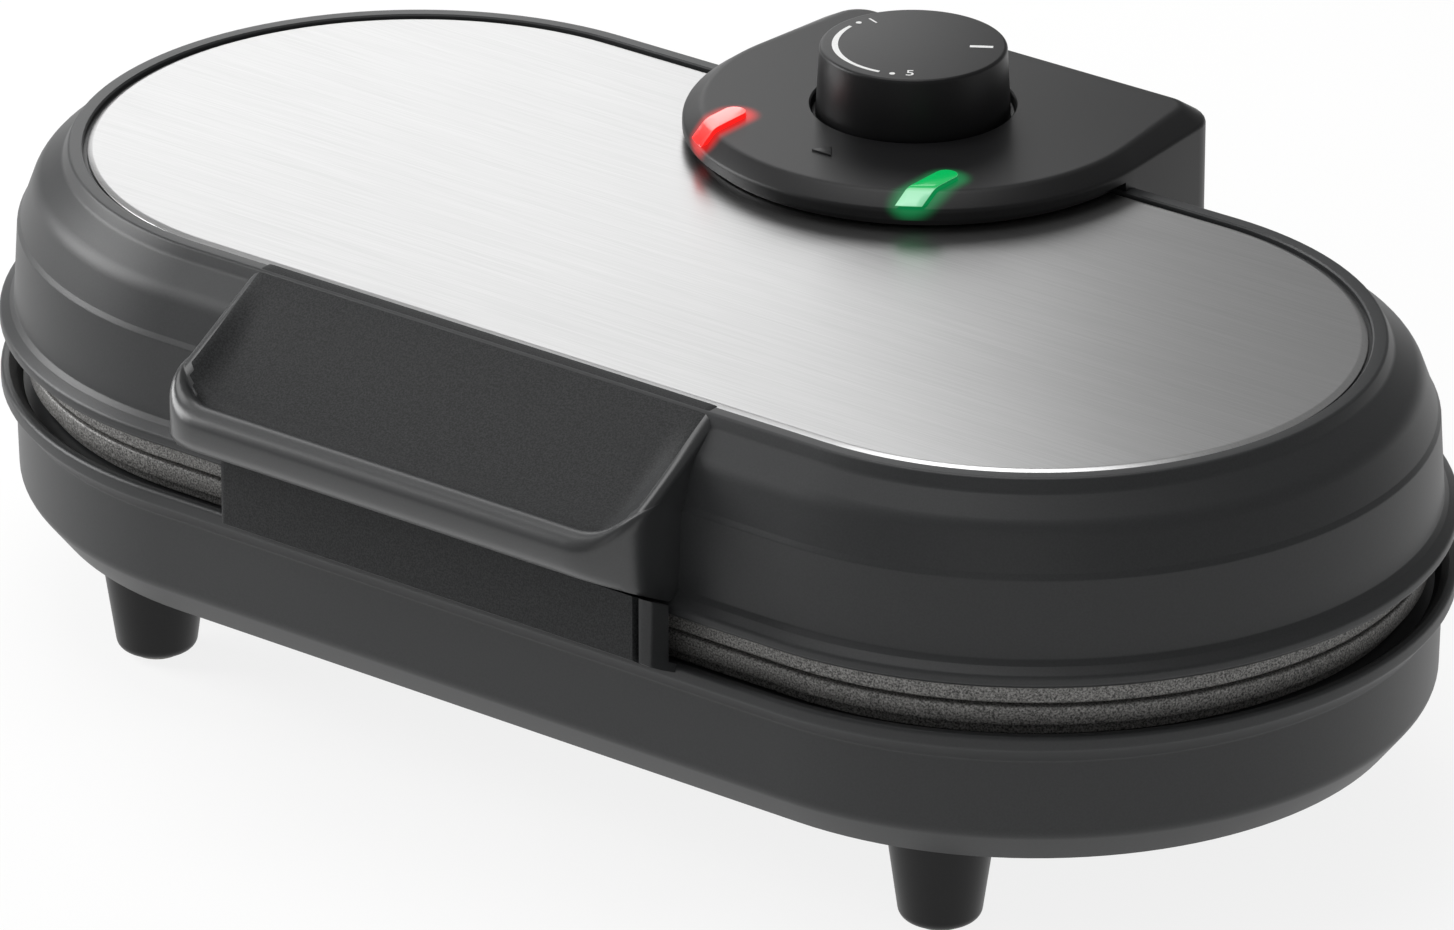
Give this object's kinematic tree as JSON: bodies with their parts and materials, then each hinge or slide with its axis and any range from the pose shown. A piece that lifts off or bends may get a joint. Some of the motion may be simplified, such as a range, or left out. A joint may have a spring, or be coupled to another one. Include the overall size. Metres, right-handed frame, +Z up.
{
  "type": "pancake maker",
  "caption": "Electric pancake maker: round cooking plates side by side in a long casing on short feet, with a hinged lid, a front handle and a heat knob on a rear console.",
  "frame": {"origin": "on the ground under the middle of the whole object", "axes": "+X along the two cooking plates, +Y towards the hinge at the back, +Z up"},
  "size_m": [0.412, 0.26, 0.1495],
  "materials": {
    "black_plastic": "matt black moulding",
    "grained_plastic": "fine grained black moulding",
    "brushed_steel": "brushed along the length",
    "plate_coating": "speckled grey non-stick coating on cast aluminium",
    "pale_rubber": "soft pale pads",
    "plain_steel": "plated steel screws, pin, shaft and heater tubes",
    "tray_sheet": "thin pressed sheet",
    "red_lens": "clear red, lit from below",
    "green_lens": "clear green, lit from below",
    "bulb_glass": "small glass lamps",
    "ceramic": "pale heat-proof body"
  },
  "bodies": {
    "base": {"base_shell": "black_plastic", "front_guard": "grained_plastic", "hinge_ear_1": "black_plastic", "hinge_ear_2": "black_plastic", "bottom_cover": "black_plastic", "lower_plate": "plate_coating", "lower_heater": "plain_steel", "lower_reflector": "tray_sheet", "hinge_pin": "plain_steel", "lead_gland": "black_plastic", "terminal_block": "ceramic", "foot_1": "black_plastic", "foot_2": "black_plastic", "foot_3": "black_plastic", "foot_4": "black_plastic", "foot_pad_1": "pale_rubber", "foot_pad_2": "pale_rubber", "foot_pad_3": "pale_rubber", "foot_pad_4": "pale_rubber", "base_screw_1": "plain_steel", "base_screw_2": "plain_steel", "base_screw_3": "plain_steel", "base_screw_4": "plain_steel"},
    "lid": {"lid_screw_1": "plain_steel", "lid_screw_2": "plain_steel", "lid_screw_3": "plain_steel", "lid_screw_4": "plain_steel", "lid_shell": "black_plastic", "hinge_arm_1": "black_plastic", "hinge_arm_2": "black_plastic", "lid_inlay": "brushed_steel", "upper_plate": "plate_coating", "upper_heater": "plain_steel", "upper_reflector": "tray_sheet", "thermal_fuse": "ceramic", "console_hood": "black_plastic", "handle": "grained_plastic", "handle_screw_1": "plain_steel", "handle_screw_2": "plain_steel", "red_lens": "red_lens", "green_lens": "green_lens", "red_bulb": "bulb_glass", "green_bulb": "bulb_glass", "thermostat_body": "ceramic", "thermostat_bracket": "tray_sheet", "thermostat_nut": "plain_steel", "bracket_screw_1": "plain_steel", "bracket_screw_2": "plain_steel"},
    "dial": {"thermostat_shaft": "plain_steel", "knob": "black_plastic"}
  },
  "joints": [
    {"name": "lid_hinge", "type": "hinge", "parent": "base", "child": "lid", "pos_m": [0, 0.118, 0.074], "axis": [-1, 0, 0], "range_deg": [0, 100]},
    {"name": "knob_turn", "type": "hinge", "parent": "lid", "child": "dial", "pos_m": [0.0015, 0.0815, 0.1415], "axis": [0, 0, 1], "range_deg": [-23, 237]}
  ]
}
